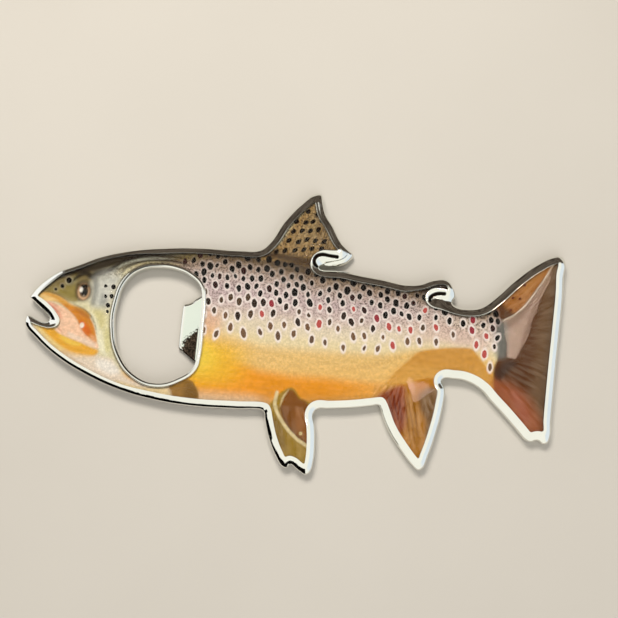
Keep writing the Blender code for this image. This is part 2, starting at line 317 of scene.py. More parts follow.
class Shell:
    """Collects sheets and walls of one closed surface."""

    def __init__(self):
        self.points = []
        self.faces = []
        self.count = 0

    def add(self, points):
        self.points.append(points)
        self.count += len(points)
        return self.count - len(points)

    def sheet(self, places, heights, triangles, up=True):
        first = self.add(at(places, heights))
        faces = triangles if up else triangles[:, ::-1]
        self.faces += (faces + first).tolist()

    def wall(self, rows, outward=True):
        """Quads between closed rows of x, y, z, from the top row down."""
        length = len(rows[0])
        first = self.add(np.vstack(rows))
        k = np.arange(length)
        after = (k + 1) % length
        for row in range(len(rows) - 1):
            a, b = first + row * length, first + (row + 1) * length
            quads = np.column_stack([a + k, a + after, b + after, b + k])
            self.faces += (quads if outward else quads[:, ::-1]).tolist()

    def underside(self, loops, top, bottom):
        """The flat underside between two loops, and the upright sides over it."""
        places, triangles = triangulated(loops)
        self.sheet(places, bottom, triangles, up=False)
        for loop, outward in zip(loops, (True, False)):
            self.wall([at(loop, top), at(loop, bottom)], outward)

    def piece(self, name, sharp=40):
        """The welded surface as an object. Edges sharper than so many degrees stay crisp."""
        mesh = bpy.data.meshes.new(name)
        mesh.from_pydata((np.vstack(self.points) * MM).tolist(), [], self.faces)
        obj = add_object(name, mesh)
        weld(mesh)
        mesh.shade_smooth()
        mesh.set_sharp_from_angle(angle=math.radians(sharp))
        return obj


def weld(mesh):
    """Joins the sheets and walls where their points meet."""
    shape = bmesh.new()
    shape.from_mesh(mesh)
    bmesh.ops.remove_doubles(shape, verts=shape.verts, dist=0.0005 * MM)
    bmesh.ops.dissolve_degenerate(shape, edges=shape.edges, dist=0.0005 * MM)
    shape.to_mesh(mesh)
    shape.free()


def profile(slopes, share, width):
    """Height over the profile's foot, from its slopes in degrees across the width."""
    shares = np.linspace(0, 1, 201)
    rise = np.tan(np.radians(np.interp(shares, *np.array(slopes).T)))
    heights = np.concatenate([[0], np.cumsum((rise[1:] + rise[:-1]) / 2) * (shares[1] - shares[0])])
    heights -= heights.max()
    return np.interp(share, shares, heights) * width


def rim_heights(points, outer, inner, slopes):
    """Heights of a raised rim between its outer and inner outline."""
    out, into = distance(points, outer), distance(points, inner)
    width = np.maximum(out + into, 1e-6)
    return CREST_Z + profile(slopes, out / width, width)


def groove_share(points):
    """1 in the middle of a fold's groove, falling to 0 at its edge."""
    art = Paint(points)
    for width, *knots in GROOVES:
        art.stroke("ffffff", width, 0.12, 1, *knots, taper=False)
    return art.color[:, 0]


def near_grooves(points):
    """Whether each point is in a fold's groove or just beside it."""
    near = np.zeros(len(points), bool)
    for width, *knots in GROOVES:
        near |= distance(points, curve_through(knots, closed=False), closed=False) < width / 2 + 0.4
    return near


def rim_sheet(shell, outer, inner, slopes, hole):
    """The top of a rim between two outlines. A hole's rim runs from its inner outline out."""
    both = [outer, inner]
    if hole:
        points = [rings(inner, -1, RING_DEPTHS, [outer]), rings(outer, 1, RING_DEPTHS[:3], [inner])]
    else:
        fine = grid_points(both, GROOVE_SPACING, 0.12)
        points = [fine[near_grooves(fine)], rings(outer, 1, RIM_DEPTHS, [inner])]
        points += [rings(inner, -1, WALL_DEPTHS, [outer]), grid_points(both, RIM_SPACING, 0.4)]
    points = thinned(np.vstack(points), 0.075 if hole else 0.1)
    places, triangles = triangulated(both, points)
    start, end = (inner, outer) if hole else (outer, inner)
    heights = rim_heights(places, start, end, slopes) - GROOVE_DEPTH * groove_share(places)
    shell.sheet(places, heights, triangles)
    return heights[: len(outer)], heights[len(outer) : len(outer) + len(inner)]


def casting(node):
    """The chromed body: rim, pocket, ring round the opening, rounded back edges and the lip."""
    outline, opening = (smoothed(loop) for loop in plane_loops(node, BACK_Z))
    pocket, ring = (smoothed(loop) for loop in plane_loops(node, FLOOR_Z))
    shell = Shell()

    outer_top, pocket_top = rim_sheet(shell, outline, pocket, RIM_SLOPES, hole=False)
    ring_top, opening_top = rim_sheet(shell, ring, opening, RING_SLOPES, hole=True)
    shell.wall([at(pocket, pocket_top), at(pocket, FLOOR_Z)], outward=False)
    shell.wall([at(ring, ring_top), at(ring, FLOOR_Z)])
    floor, triangles = triangulated([pocket, ring])
    shell.sheet(floor, FLOOR_Z, triangles)

    back = []
    for loop, top, side in ((outline, outer_top, 1), (opening, opening_top, -1)):
        rows = [at(loop, top), at(loop, top * 0.5 + 0.6)]
        rows += [at(loop + side * inward(loop) * depth, height) for depth, height in BACK_ROUND]
        shell.wall(rows, outward=side == 1)
        back.append(rows[-1][:, :2])
    places, triangles = triangulated(back, grid_points(back, BACK_SPACING, 1.5))
    shell.sheet(places, BACK_Z, triangles, up=False)

    lip(shell, node, opening)
    return shell.piece("casting")


def lip(shell, node, opening):
    """The prising lip: a tab, thinner towards its tip, with bevelled free edges."""
    tab = smoothed(plane_loops(node, LIP_Z)[0], step=0.12, reach=0.12)
    root = distance(tab, opening) < LIP_ROOT
    free = tab[~root]
    points = np.vstack([rings(tab, 1, (0.08, 0.18, 0.3, 0.45, 0.6)), grid_points([tab], 0.5, 0.75)])
    places, triangles = triangulated([tab], thinned(points, 0.08))
    apart = np.min(np.linalg.norm(places[:, None] - free[None], axis=2), axis=1)
    apart[: len(tab)][~root] = 0
    edge = np.clip(1 - apart / LIP_BEVEL, 0, 1)
    lean = np.clip(1 - (places[:, 0] - tab[:, 0].min()) / LIP_LENGTH, 0, 1)
    top = LIP_Z - LIP_TIP_DROP * lean - LIP_BEVEL_DROP * edge**1.6
    bottom = LIP_BOTTOM_Z + LIP_BEVEL_RISE * edge**2
    push = np.where(distance(places, opening) < LIP_ROOT, LIP_SINK, 0.0)
    places = places + np.column_stack([push, np.zeros(len(push))])
    shell.sheet(places, top, triangles)
    shell.sheet(places, bottom, triangles, up=False)
    count = len(tab)
    shell.wall([at(places[:count], top[:count]), at(places[:count], bottom[:count])])


def pocket_loops(node, step):
    """The pocket's wall and the ring's, moved by the side gap into the space between them."""
    pocket, ring = (smoothed(loop, step) for loop in plane_loops(node, FLOOR_Z))
    return [pocket + SIDE_GAP * inward(pocket), ring - SIDE_GAP * inward(ring)]


def film(body):
    """The printed film: a thin sheet, fine enough on top to carry the picture's attributes."""
    loops = pocket_loops(body, FILM_STEP)
    shell = Shell()
    places, triangles = triangulated(loops, grid_points(loops, FILM_STEP, FILM_STEP * 0.6))
    shell.sheet(places, FILM_TOP_Z, triangles)
    shell.underside(loops, FILM_TOP_Z, FILM_Z)
    return shell.piece("artwork")


def settled(places, triangles, fixed):
    """How full the resin stands at each point, from 0 at its edge to nearly 1 far from any edge."""
    a, b, c = (places[triangles[:, k]] for k in (0, 1, 2))
    (ux, uy), (vx, vy) = (b - a).T, (c - a).T
    area = np.abs(ux * vy - uy * vx) / 2
    starts, ends, weights = [], [], []
    for i, j, k in ((0, 1, 2), (1, 2, 0), (2, 0, 1)):
        one, two = (places[triangles[:, end]] - places[triangles[:, k]] for end in (i, j))
        weight = np.maximum((one * two).sum(axis=1) / (4 * area), 0)
        starts += [triangles[:, i], triangles[:, j]]
        ends += [triangles[:, j], triangles[:, i]]
        weights += [weight, weight]
    starts, ends, weights = map(np.concatenate, (starts, ends, weights))
    share = np.zeros(len(places))
    np.add.at(share, triangles.ravel(), np.repeat(area / 3, 3))
    share /= RESIN_REACH**2
    total = np.bincount(starts, weights, len(places)) + share
    full = np.ones(len(places))
    full[:fixed] = 0
    for _ in range(RESIN_ROUNDS):
        full = (np.bincount(starts, weights * full[ends], len(places)) + share) / total
        full[:fixed] = 0
    return full


def resin(body):
    """The clear resin: flat underneath, upright at its edge, pulled to a dome on top."""
    loops = pocket_loops(body, STEP)
    shell = Shell()
    points = [rings(loops[0], 1, RESIN_DEPTHS, loops[1:]), rings(loops[1], -1, RESIN_DEPTHS, loops[:1])]
    points = thinned(np.vstack([*points, grid_points(loops, RESIN_STEP, 1.75)]), 0.12)
    places, triangles = triangulated(loops, points)
    border = sum(len(loop) for loop in loops)
    full = settled(places, triangles, border)
    heights = RESIN_EDGE_Z + (RESIN_CROWN_Z - RESIN_EDGE_Z) * full / full.max()
    shell.sheet(places, heights, triangles)
    shell.underside(loops, RESIN_EDGE_Z, RESIN_BASE_Z)
    return shell.piece("resin")


# ---------------------------------------------------------------- materials


def linear(text):
    """A colour from its hex name, as linear red, green and blue."""
    values = np.array([int(text[k : k + 2], 16) for k in (0, 2, 4)]) / 255
    return np.where(values <= 0.04045, values / 12.92, ((values + 0.055) / 1.055) ** 2.4)


class Nodes:
    """A short way to write a material's node tree."""

    def __init__(self, name, tree=None):
        if tree is None:
            self.material = bpy.data.materials.new(name)
            self.material.use_nodes = True
            tree = self.material.node_tree
        self.tree = tree
        tree.nodes.clear()

    def add(self, kind, inputs=None, **settings):
        node = self.tree.nodes.new(kind)
        for key, value in settings.items():
            setattr(node, key, value)
        for key, value in (inputs or {}).items():
            self.put(node.inputs[key], value)
        return node

    def put(self, socket, value):
        if isinstance(value, bpy.types.NodeSocket):
            self.tree.links.new(value, socket)
        elif isinstance(value, bpy.types.Node):
            self.tree.links.new(value.outputs[0], socket)
        elif isinstance(value, str):
            socket.default_value = (*linear(value), 1)
        else:
            socket.default_value = value

    def math(self, operation, a, b=0.0, clamp=False):
        node = self.add("ShaderNodeMath", {0: a, 1: b}, operation=operation, use_clamp=clamp)
        return node.outputs[0]

    def times(self, a, b):
        return self.math("MULTIPLY", a, b)

    def plus(self, a, b):
        return self.math("ADD", a, b)

    def mix(self, share, a, b):
        node = self.add("ShaderNodeMix", data_type="RGBA")
        self.put(node.inputs[0], share)
        self.put(node.inputs[6], a)
        self.put(node.inputs[7], b)
        return node.outputs[2]

    def ramp(self, value, low, high, start=0.0, end=1.0):
        """A smooth step of the value, from start at low to end at high."""
        keys = {"Value": value, "From Min": low, "From Max": high, "To Min": start, "To Max": end}
        return self.add("ShaderNodeMapRange", keys, interpolation_type="SMOOTHSTEP").outputs[0]

    def attribute(self, name, output="Fac"):
        return self.add("ShaderNodeAttribute", attribute_name=name).outputs[output]

    def place(self):
        return self.add("ShaderNodeTexCoord").outputs["Object"]

    def noise(self, vector, scale, detail=2.0, roughness=0.5):
        keys = {"Vector": vector, "Scale": scale, "Detail": detail, "Roughness": roughness}
        return self.add("ShaderNodeTexNoise", keys).outputs["Fac"]

    def cells(self, vector, scale):
        return self.add("ShaderNodeTexVoronoi", {"Vector": vector, "Scale": scale}).outputs["Distance"]

    def bump(self, height, strength, reach):
        keys = {"Height": height, "Strength": strength, "Distance": reach * MM}
        return self.add("ShaderNodeBump", keys)

    def surface(self, shader):
        self.add("ShaderNodeOutputMaterial", {"Surface": shader})
        return self.material

    def principled(self, **inputs):
        names = {"color": "Base Color", "shine": "Specular IOR Level"}
        keys = {names.get(name, name.capitalize()): value for name, value in inputs.items()}
        return self.surface(self.add("ShaderNodeBsdfPrincipled", keys))


def lip_dark_reflection(m, place):
    """A painted dark reflection: a ragged dark patch at the lower end of the lip."""
    parts = m.add("ShaderNodeSeparateXYZ", {0: place}).outputs
    x, y, z = (m.times(part, 1 / MM) for part in parts)
    left = m.plus(x, 28.6)
    corner = m.math("SUBTRACT", m.plus(x, 22.9), y)
    ragged = m.times(m.math("SUBTRACT", m.noise(place, 2000, 4, 0.8), 0.5), 6.0)
    share = m.ramp(m.plus(m.math("MINIMUM", left, corner), ragged), -0.2, 0.25)
    here = m.times(m.ramp(z, 2.3, 2.5, 1.0, 0.0), m.ramp(x, -24.9, -24.7, 1.0, 0.0))
    here = m.times(here, m.ramp(y, -13.0, -12.6))
    return m.times(share, here)


def chrome():
    """Plated metal with uneven gloss, fine scratches, painted shade in the grooves and round the opening,
    and a painted dark reflection on the lip.
    """
    m = Nodes("chrome_plate")
    place = m.place()
    broad = m.noise(place, 90, 3)
    fine = m.noise(place, 2600, 2)
    cells = m.cells(place, 700)
    keys = {"Vector": place, "Rotation": (0, 0, 0.6), "Scale": (60, 2600, 60)}
    stretched = m.add("ShaderNodeMapping", keys)
    scratches = m.ramp(m.noise(stretched, 1.0, 2), 0.66, 0.74)
    tint = m.mix(broad, "dfe0dc", "f3f2ea")
    # Painted shade: near black in the grooves and in the dark line round the opening.
    tint = m.mix(m.attribute("painted_shade"), tint, "120c08")
    # Painted dark reflection on the lower end of the lip.
    lip_reflection_tone = m.mix(m.ramp(m.noise(place, 2600, 3, 0.8), 0.45, 0.62), "0c0806", "6b574a")
    tint = m.mix(lip_dark_reflection(m, place), tint, lip_reflection_tone)
    rough = m.plus(m.ramp(broad, 0.3, 0.7, 0.035, 0.085), m.times(scratches, 0.08))
    height = m.plus(m.times(broad, 3.0), m.times(fine, 0.12))
    height = m.plus(height, m.times(cells, 0.25))
    return m.principled(color=tint, metallic=1.0, roughness=rough, normal=m.bump(height, 0.25, 0.02))


def clear_resin():
    """Clear resin as a faint mirror that lets straight through what it doesn't mirror."""
    m = Nodes("clear_resin")
    place = m.place()
    wave = m.noise(place, 160, 2)
    bump = m.bump(wave, 0.3, 0.03)
    rough = m.ramp(m.noise(place, 500, 2), 0.4, 0.7, 0.004, 0.014)
    through = m.add("ShaderNodeBsdfTransparent", {"Color": (0.985, 0.985, 0.975, 1)})
    gloss = m.add("ShaderNodeBsdfGlossy", {"Color": (1, 1, 1, 1), "Roughness": rough, "Normal": bump})
    fresnel = m.math("POWER", m.add("ShaderNodeFresnel", {"IOR": 1.5, "Normal": bump}).outputs[0], 1.5)
    # Rays aren't bent on their way in, so Fresnel would mirror them fully at the inner sides.
    # The faint shine there is constant instead.
    inner = m.add("ShaderNodeNewGeometry").outputs["Backfacing"]
    fresnel = m.times(fresnel, m.math("SUBTRACT", 1.0, inner))
    fresnel = m.plus(fresnel, m.times(inner, 0.008))
    shader = m.add("ShaderNodeMixShader", {0: fresnel, 1: through, 2: gloss})
    return m.surface(shader)


def printed_film():
    """The print: painted colours with streaks, scales and specks, and the spots over them."""
    m = Nodes("printed_film")
    place = m.place()
    paint = m.attribute("paint", "Color")
    grain = m.attribute("grain", "Vector")
    streaks = m.noise(grain, 1.0, 3, 0.6)
    streak_share = m.attribute("streak")
    low = m.mix(0.6, paint, "1c0f08")
    high = m.mix(0.25, paint, "fff0d8")
    streaked = m.mix(m.ramp(streaks, 0.35, 0.65), low, high)
    color = m.mix(streak_share, paint, streaked)
    # Scales: a fine net of cells that lightens and darkens the flank.
    cells = m.cells(place, 1900)
    scale_tone = m.ramp(cells, 0.15, 0.7, 1.06, 0.9)
    mottle = m.ramp(m.noise(place, 900, 3), 0.3, 0.7, 0.95, 1.08)
    tone = m.times(scale_tone, mottle)
    color = m.add("ShaderNodeVectorMath", {0: color, "Scale": tone}, operation="SCALE").outputs[0]
    specks = m.ramp(m.noise(place, 1900, 3, 0.75), 0.46, 0.6)
    specks = m.times(specks, m.times(m.attribute("speckle"), 0.85))
    color = m.mix(specks, color, "3c2f28")
    # Spots with pale halos.
    wobble = m.times(m.math("SUBTRACT", m.noise(place, 1500, 2), 0.5), 0.4)
    away = m.plus(m.attribute("spot"), wobble)
    halo = m.times(m.ramp(away, 0.1, 0.62, 1.0, 0.0), m.attribute("halo"))
    color = m.mix(halo, color, "e3d6d1")
    color = m.mix(m.ramp(away, -0.06, 0.1, 1.0, 0.0), color, m.attribute("spot_color", "Color"))
    rough = m.ramp(m.noise(place, 1200, 2), 0.3, 0.7, 0.42, 0.55)
    return m.principled(color=color, roughness=rough, shine=0.03, normal=m.bump(cells, 0.1, 0.01))


def pale_floor():
    m = Nodes("pale_floor")
    place = m.place()
    tone = m.mix(m.noise(place, 12, 4), "c0bab0", "cac4ba")
    return m.principled(color=tone, roughness=0.8, shine=0.2)


# ---------------------------------------------------------------- artwork

# The trunk without its fins: upper and lower edge at places along the fish.
BACK_LINE = ((-70, 1), (-66, 6.5), (-61, 9.8), (-52.5, 14.2), (-45, 16.8), (-36, 18.6), (-26, 19.5),
             (-15, 19.6), (-6, 18.6), (5, 16.6), (16, 15.7), (28, 14.2), (36, 12.3), (43, 9.3), (49, 9.2),
             (54, 10.5))
BELLY_LINE = ((-70, -3), (-66, -8.5), (-60.6, -12.6), (-52.5, -16.7), (-43.7, -19.8), (-35, -21.5),
              (-24, -22.3), (-6, -22), (4, -20.8), (12, -19.8), (24, -17.9), (32, -13.5), (40, -10),
              (47, -10), (54, -14.5))

# Colours of the flank from the belly's edge up to the back's.
FLANK = ((0.0, "dcae82"), (0.06, "e6b168"), (0.14, "f0a93e"), (0.24, "f2b550"), (0.34, "e9c077"),
         (0.46, "eddab0"), (0.56, "f2e2ce"), (0.66, "ecd7cc"), (0.76, "d9c4bc"), (0.84, "c5aea4"),
         (0.9, "a38b78"), (0.945, "6e5a42"), (1.0, "30231a"))
# Upper edge of the belly's orange, and lower edge of the spots.
ORANGE_TOP = ((-25, -5.5), (-15, -9.5), (-8, -11.6), (0, -12.2), (10, -12), (21, -12.6), (28, -12),
              (40, -8))
SPOTTED_DOWN_TO = ((-31, 11.5), (-27.5, 9), (-26, -2.2), (-15, -4.4), (-1, -4.6), (10, -3.6), (20, -4.4),
                   (30, -3.4), (40, 0.4), (47, 0.6), (50.5, -5.5), (54, -6.5))


def height_at(line, x):
    """The height of a line over each x."""
    return np.interp(x, *np.array(line).T)


class Paint:
    """Colours laid over each other at points of the film."""

    def __init__(self, points):
        self.points = points
        self.color = np.zeros((len(points), 3))

    def near(self, line, reach):
        """The numbers of the points that may be within reach of the line."""
        low, high = line.min(axis=0) - reach, line.max(axis=0) + reach
        return np.nonzero(((self.points > low) & (self.points < high)).all(axis=1))[0]

    def lay(self, color, mask):
        """Covers what is there with a colour, as far as the mask says."""
        mask = np.clip(mask, 0, 1)[:, None]
        self.color = self.color * (1 - mask) + linear(color) * mask

    def area(self, knots, feather=0.3):
        """1 inside the smooth outline through the knots, falling to 0 across its feather."""
        line = curve_through(knots, step=0.6)
        near = self.near(line, 2 * feather)
        mask = np.zeros(len(self.points))
        if len(near):
            points = self.points[near]
            apart = distance(points, line) * np.where(inside(points, line), 1, -1)
            mask[near] = soft(apart, -feather, feather)
        return mask

    def fill(self, color, feather, share, *knots):
        self.lay(color, self.area(knots, feather) * share)

    def stroke(self, color, width, feather, share, *knots, taper=True):
        """A smooth open line through the knots, thinner towards its ends."""
        line = curve_through(knots, closed=False, step=0.4)
        near = self.near(line, width + 2 * feather)
        mask = np.zeros(len(self.points))
        if len(near):
            points = self.points[near]
            apart = np.linalg.norm(points[:, None] - line[None], axis=2)
            place = apart.argmin(axis=1) / (len(line) - 1)
            thick = width / 2 * (np.sin(np.pi * np.clip(place, 0.03, 0.97)) ** 0.6 if taper else 1)
            mask[near] = soft(thick - apart.min(axis=1), -feather, feather)
        self.lay(color, mask * share)

    def spot(self, color, x, y, width, height, feather=0.15, share=1.0):
        dx, dy = (self.points - (x, y)).T
        apart = (1 - np.hypot(dx * 2 / width, dy * 2 / height)) * min(width, height) / 2
        self.lay(color, soft(apart, -feather, feather) * share)


def paint_picture(points, pocket, ring):
    """The colours of the trout with painted shade, a painted highlight and a painted reflection, without
    its spots, and how far up the trunk each point is.
    """
    x, y = points.T
    back, belly = height_at(BACK_LINE, x), height_at(BELLY_LINE, x)
    level = (y - belly) / (back - belly)
    art = Paint(points)
    art.lay(FLANK[0][1], np.ones(len(points)))
    for (low, _), (high, color) in zip(FLANK, FLANK[1:]):
        art.lay(color, soft(level, low, high))
    paint_trunk(art, x, y, level)
    paint_tail(art, x, y)
    paint_fins(art)
    paint_head(art, x)
    paint_mouth(art)
    paint_eye(art)
    # Painted shade on the picture beside the ring, most of all in front of it, and painted shadow under the
    # back's rim.
    ring_shade = soft(distance(points, ring), 0.5, 0.12)
    rim_shadow = soft(distance(points, pocket), 0.5, 0.1) * soft(level, 0.7, 0.9)
    art.lay("1d1510", ring_shade * (0.35 + 0.55 * soft(x, -25, -40)))
    art.lay("15100c", rim_shadow * soft(x, 54, 48) * 0.7)
    # The shine of the resin lightens everything a little, so the print is darker than it looks.
    # The fins and the tail come out brighter than the trunk, so they are darkened more.
    ends = np.maximum(soft(y, -12, -18) * soft(x, -9, -5), soft(x, 52, 55))
    return np.maximum(art.color * (0.83 - 0.12 * ends)[:, None] - 0.006, 0.001), level


def paint_trunk(art, x, y, level):
    # Yellow beside the opening, orange along the belly, amber and beige above it.
    orange_top = height_at(ORANGE_TOP, x)
    trunk = soft(x, -27, -24) * soft(x, 53, 49)
    art.lay("ead8b8", soft(y, -4.0, 0.5) * soft(y, 8, 3) * trunk * 0.55)
    art.lay("ecc27c", soft(orange_top + 5.0 - y, -3.5, 1.5) * trunk * soft(level, 0.62, 0.45) * 0.75)
    core = soft(orange_top - y, -1.6, 2.0) * trunk
    art.lay("f29c24", core * soft(level, -0.02, 0.12) * soft(x, 34, 20))
    art.lay("f0b45c", core * soft(x, 8, 26) * soft(level, 0.3, 0.1) * 0.55)
    yellow = np.hypot((x + 25) / 1.45, (y + 9.5) / 1.05)
    art.lay("f2bc34", soft(yellow, 12.5, 5) * soft(level, 0.05, 0.2) * soft(y, -2, -8) * trunk * 0.9)
    art.lay("f8d650", soft(yellow, 6.0, 1.5) * trunk * 0.85)
    art.lay("e8a888", soft(np.hypot(x + 22.5, (y - 0.2) * 1.1), 6.0, 1.5) * trunk * 0.6)
    # Lilac on the upper flank, and a pale pink edge under the yellow.
    lilac = soft(np.abs(level - 0.7), 0.16, 0.03)
    art.lay("cdb2bb", lilac * trunk * soft(x, 44, 20) * 0.55)
    art.lay("e0bbb4", soft(np.abs(level - 0.6), 0.2, 0.05) * soft(x, 22, 40) * trunk * 0.6)
    pale = soft(level, 0.14, 0.04) * soft(x, -2, -10) * soft(x, -26, -23)
    art.lay("e2bf9c", pale * 0.9)
    art.stroke("a05a1c", 0.4, 0.25, 0.6, (2.6, -18), (8, -18.4), (15, -17.8), (21, -16.6))
    # Fine lines running forwards from the amber patch.
    for k in range(5):
        line = (10 + 3 * k, k - 9.5), (18 + 3 * k, k - 8.9), (26 + 2 * k, k - 6.8)
        art.stroke("d9a860", 0.3, 0.2, 0.45, *line)
    # Amber patch under the tail's root, with a crisp upper arc.
    amber = ((27, -9.5), (30.4, -5.8), (32.8, -3.4), (37.4, -2.1), (43.2, -1.3), (46.8, -1.4),
             (48.4, -3.1), (50.4, -5.5), (52.5, -8.4), (53, -13), (46, -12), (38, -12), (31, -14),
             (25, -13.5))
    art.fill("d2953f", 0.4, 0.95, *amber)
    art.lay("dfa650", art.area(amber, 2.0) * soft(y, -5.5, -8.5) * 0.7)


def paint_tail(art, x, y):
    # Brown, darker towards the trailing edge and reddish below.
    base = ((52.9, 8.6), (52.6, 5.8), (52.9, 3), (53.6, 0.5), (53.6, -2.5), (52.6, -6), (52.8, -9.4),
            (53.5, -14), (60, -24), (72, -26), (74, 28), (60, 26), (52, 12))
    art.fill("5f3618", 0.5, 1, *base)
    art.lay("7a5a3c", soft(x - 0.055 * y, 61.0, 65.0) * 0.8)
    art.lay("5f4832", soft(x - 0.055 * y, 64.5, 66.8) * 0.5)
    art.fill("ae5a30", 2.2, 0.85, (52.5, -9), (57, -9.5), (60.5, -11.5), (63.5, -15), (66, -20),
             (65.5, -25), (60, -24))
    art.fill("b96a54", 0.9, 0.55, (57.4, -11.6), (59, -11.4), (60.4, -14), (62.5, -18), (61.5, -19.5),
             (59, -16))
    # Orange upper lobe with a dark root, and the shaded joint to the trunk.
    lobe = ((52.6, 9.4), (53.6, 6.4), (55.5, 7.9), (58.6, 10.3), (61, 13.5), (62.5, 16), (64.4, 19),
            (67.2, 24), (63, 23), (58, 19), (53, 13))
    art.fill("b4743a", 0.3, 1, *lobe)
    art.fill("c98a4a", 1.2, 0.6, (59, 14.5), (61.5, 16), (64.8, 21), (63, 20.6), (60, 18))
    art.fill("4a2a1c", 0.8, 0.85, (53.2, 12), (54.9, 10.3), (57.1, 8.9), (55.6, 7.4), (53.5, 6.4),
             (52.6, 9))
    art.fill("3c2218", 0.8, 0.85, (53, -7.6), (54.2, -5), (56.7, -3.4), (58.6, -4), (56.8, -6),
             (54.4, -8.8))
    # Painted highlight: a thin bright line along the upper lobe's edge, where the resin's curved surface
    # mirrors light.
    art.stroke("fff0d4", 0.4, 0.12, 0.9, (54.4, 6.9), (57.2, 8.6), (59.3, 10.7), (61.3, 13.4), (63, 16.2),
               (64.8, 19.2), (66.7, 22.9), taper=False)
    # Painted reflection: a grey-blue patch at the root of the upper lobe, the left part of the light
    # mirrored in the resin over the tail.
    art.fill("7e807c", 1.0, 0.8, (52.6, 5), (54.6, 6.6), (55.8, 5), (55.7, 1.9), (56, -0.7), (55.2, -3),
             (53.4, -3))


def paint_fins(art):
    # Dorsal fin: tan with pale slanting rays and a dark root.
    dorsal = ((-11.5, 18), (-8, 21), (-3, 29), (3.8, 38), (7, 31), (14, 22), (11, 19), (6, 16.4),
              (-2, 17.4))
    art.fill("a98652", 0.4, 1, *dorsal)
    art.fill("6a5434", 1.5, 0.5, (3.6, 36), (3.4, 28), (6, 21), (9, 19), (8, 27), (5, 35))
    for k in range(5):
        ray = (3 + 0.2 * k, 34 - k), (0.2 + 0.9 * k, 27 - k), (1.9 * k - 2.6, 20.6)
        art.stroke("b7a478", 0.4, 0.25, 0.6, *ray)
    art.stroke("d8c99c", 0.6, 0.2, 0.9, (2.6, 34.6), (-2.4, 28.2), (-6, 22), (-9.4, 19.2))
    art.fill("33221a", 0.8, 0.85, (-12, 19.2), (-6, 19.9), (0, 19.4), (4.5, 18.8), (6.2, 16), (0, 17),
             (-7, 18.2))
    # Anal fin: red-brown in front, ochre in the middle, brown behind.
    anal = ((23, -17.4), (26.5, -14), (31, -11.6), (37, -9.8), (43, -12), (41, -26), (35, -36), (24, -22))
    art.fill("c07c1c", 0.3, 1, *anal)
    art.fill("9c4018", 1.0, 0.95, (23, -16), (26.5, -13.2), (29.6, -12.4), (30.6, -16), (31, -20),
             (30, -24.4), (26, -24))
    for x0, x1 in ((25.4, 28), (26.7, 29.1), (28.1, 30)):
        art.stroke("641a10", 0.65, 0.3, 0.8, (x0, -14.0), ((x0 + x1) / 2, -17.8), (x1, -22.0))
    for x0, x1 in ((30.6, 33.6), (32, 34.6), (29.6, 32.4)):
        art.stroke("7d4a22", 0.45, 0.25, 0.65, (x0, -14.4), ((x0 + x1) / 2, -20.0), (x1, -26.5))
        beside = (x0 + 0.7, -14.4), ((x0 + x1) / 2 + 0.7, -20), (x1 + 0.6, -27)
        art.stroke("cf9c56", 0.5, 0.3, 0.55, *beside)
    art.fill("79593a", 0.9, 0.85, (33.9, -14.4), (37, -12), (43, -12), (40, -22), (36.4, -26), (36, -21),
             (34.4, -18))
    # Pelvic fin: brown above its pale arc, ochre below.
    pelvic = ((-5.2, -22), (-3.4, -18.9), (-0.9, -16.2), (1.2, -15.4), (3.6, -18), (8.5, -20), (9.5, -36),
              (3, -40), (-4, -32))
    art.fill("ab862a", 0.4, 1, *pelvic)
    art.fill("7b5a24", 0.8, 0.6, (-3.6, -23), (-1.7, -24), (0.2, -27.5), (0.9, -31.5), (-0.6, -31),
             (-2.6, -27))
    art.fill("8a4e14", 0.5, 0.95, (-0.4, -16.6), (1.2, -15.9), (3.2, -18), (5.2, -18.8), (6.4, -24),
             (6.9, -29.9), (4.3, -28.8), (2.1, -27.2), (0.1, -25.1), (-1.1, -22.9), (-1.6, -20.9),
             (-1, -18.5))
    art.fill("ad6a2c", 0.9, 0.6, (2.6, -20.4), (4.6, -21.4), (5.6, -25), (5.4, -28), (3.6, -26.6),
             (2.6, -23.6))
    art.stroke("5c3413", 0.6, 0.3, 0.7, (-1.2, -20.4), (-0.4, -22.8), (1.2, -25.4), (3.4, -27.6), (6, -29))
    art.stroke("f5e0ac", 0.85, 0.2, 0.95, (-2.7, -16.9), (-3, -19.7), (-2.5, -21.5), (-1.3, -23.4),
               (0.1, -25.3), (1.8, -27), (3.8, -28.6), (5.4, -29.5), (6.8, -30.3), taper=False)
    art.stroke("f0d8a4", 0.5, 0.2, 0.9, (0.3, -15.8), (-1, -18), (-1.6, -20.4))
    art.spot("f5e6a8", 4.3, -26.9, 0.8, 0.9, 0.15)
    art.spot("a8672c", 4.3, -26.9, 0.3, 0.35, 0.12)
    # Pectoral fin: a brown leaf with a pale front edge.
    leaf = ((-33, -17.9), (-29.3, -17.3), (-25.6, -15.6), (-23.6, -17.4), (-22.8, -20.8), (-26, -21.6),
            (-29.6, -21.2), (-31.2, -19.6))
    art.fill("9a7032", 0.3, 1, *leaf)
    art.fill("6b4a1e", 1.0, 0.6, (-26, -16.2), (-23.7, -17.6), (-22.9, -20.8), (-26.4, -21))
    art.stroke("f0d7a0", 0.5, 0.15, 0.9, (-33, -18), (-31.2, -19.6), (-29.4, -21))


